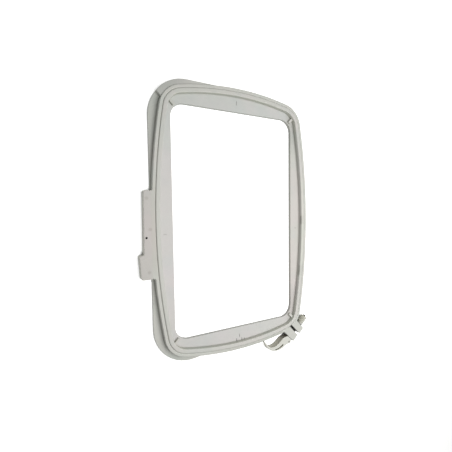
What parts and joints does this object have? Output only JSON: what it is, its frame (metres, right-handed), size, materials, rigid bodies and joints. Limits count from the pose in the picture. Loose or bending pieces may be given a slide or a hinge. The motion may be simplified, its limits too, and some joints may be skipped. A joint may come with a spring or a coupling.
{
  "type": "machine embroidery hoop",
  "caption": "Split embroidery frame: a bowed inner ring held in an outer ring with a side connector tab and a corner clamp with cam lever and thumb nut.",
  "frame": {"origin": "centre of the embroidery field, on the hoop's underside", "axes": "+Z towards the fabric side, +Y along the hoop's length, connector tab on the -X side, clamp at the +X -Y corner"},
  "size_m": [0.2216, 0.3224, 0.0092],
  "materials": {
    "hoop_plastic": "moulded, fine grain",
    "clamp_plastic": "moulded, fine grain",
    "steel": "zinc plated",
    "brass": "turned"
  },
  "bodies": {
    "frame": {"outer_hoop": "hoop_plastic", "cam_plate": "steel"},
    "inner": {"inner_hoop": "hoop_plastic"},
    "bolt": {"draw_bolt": "steel", "end_clip": "steel"},
    "lever": {"clamp_lever": "clamp_plastic", "lever_pivot_pin": "steel"},
    "washer": {"thrust_washer": "steel"},
    "nut": {"thumb_nut": "clamp_plastic", "nut_insert": "brass"}
  },
  "joints": [
    {"name": "inner_lift", "type": "slide", "parent": "frame", "child": "inner", "axis": [0, 0, 1], "range_m": [0, 0.03]},
    {"name": "bolt_draw", "type": "slide", "parent": "frame", "child": "bolt", "axis": [0.7193, 0.6947, 0], "range_m": [0, 0.0015]},
    {"name": "lever_swing", "type": "hinge", "parent": "bolt", "child": "lever", "pos_m": [0.07305, -0.16106, 0.004], "axis": [0, 0, 1], "range_deg": [0, 110]},
    {"name": "nut_travel", "type": "slide", "parent": "bolt", "child": "washer", "axis": [0.7193, 0.6947, 0], "range_m": [0, 0.0035]},
    {"name": "nut_turn", "type": "hinge", "parent": "washer", "child": "nut", "pos_m": [0.09847, -0.13651, 0.0047], "axis": [0.7193, 0.6947, 0], "range_deg": [0, 1800]}
  ],
  "couplings": [
    {"joint": "lever_swing", "follows": "bolt_draw", "rad_per_m": 1279.9},
    {"joint": "nut_turn", "follows": "nut_travel", "rad_per_m": 8976}
  ]
}
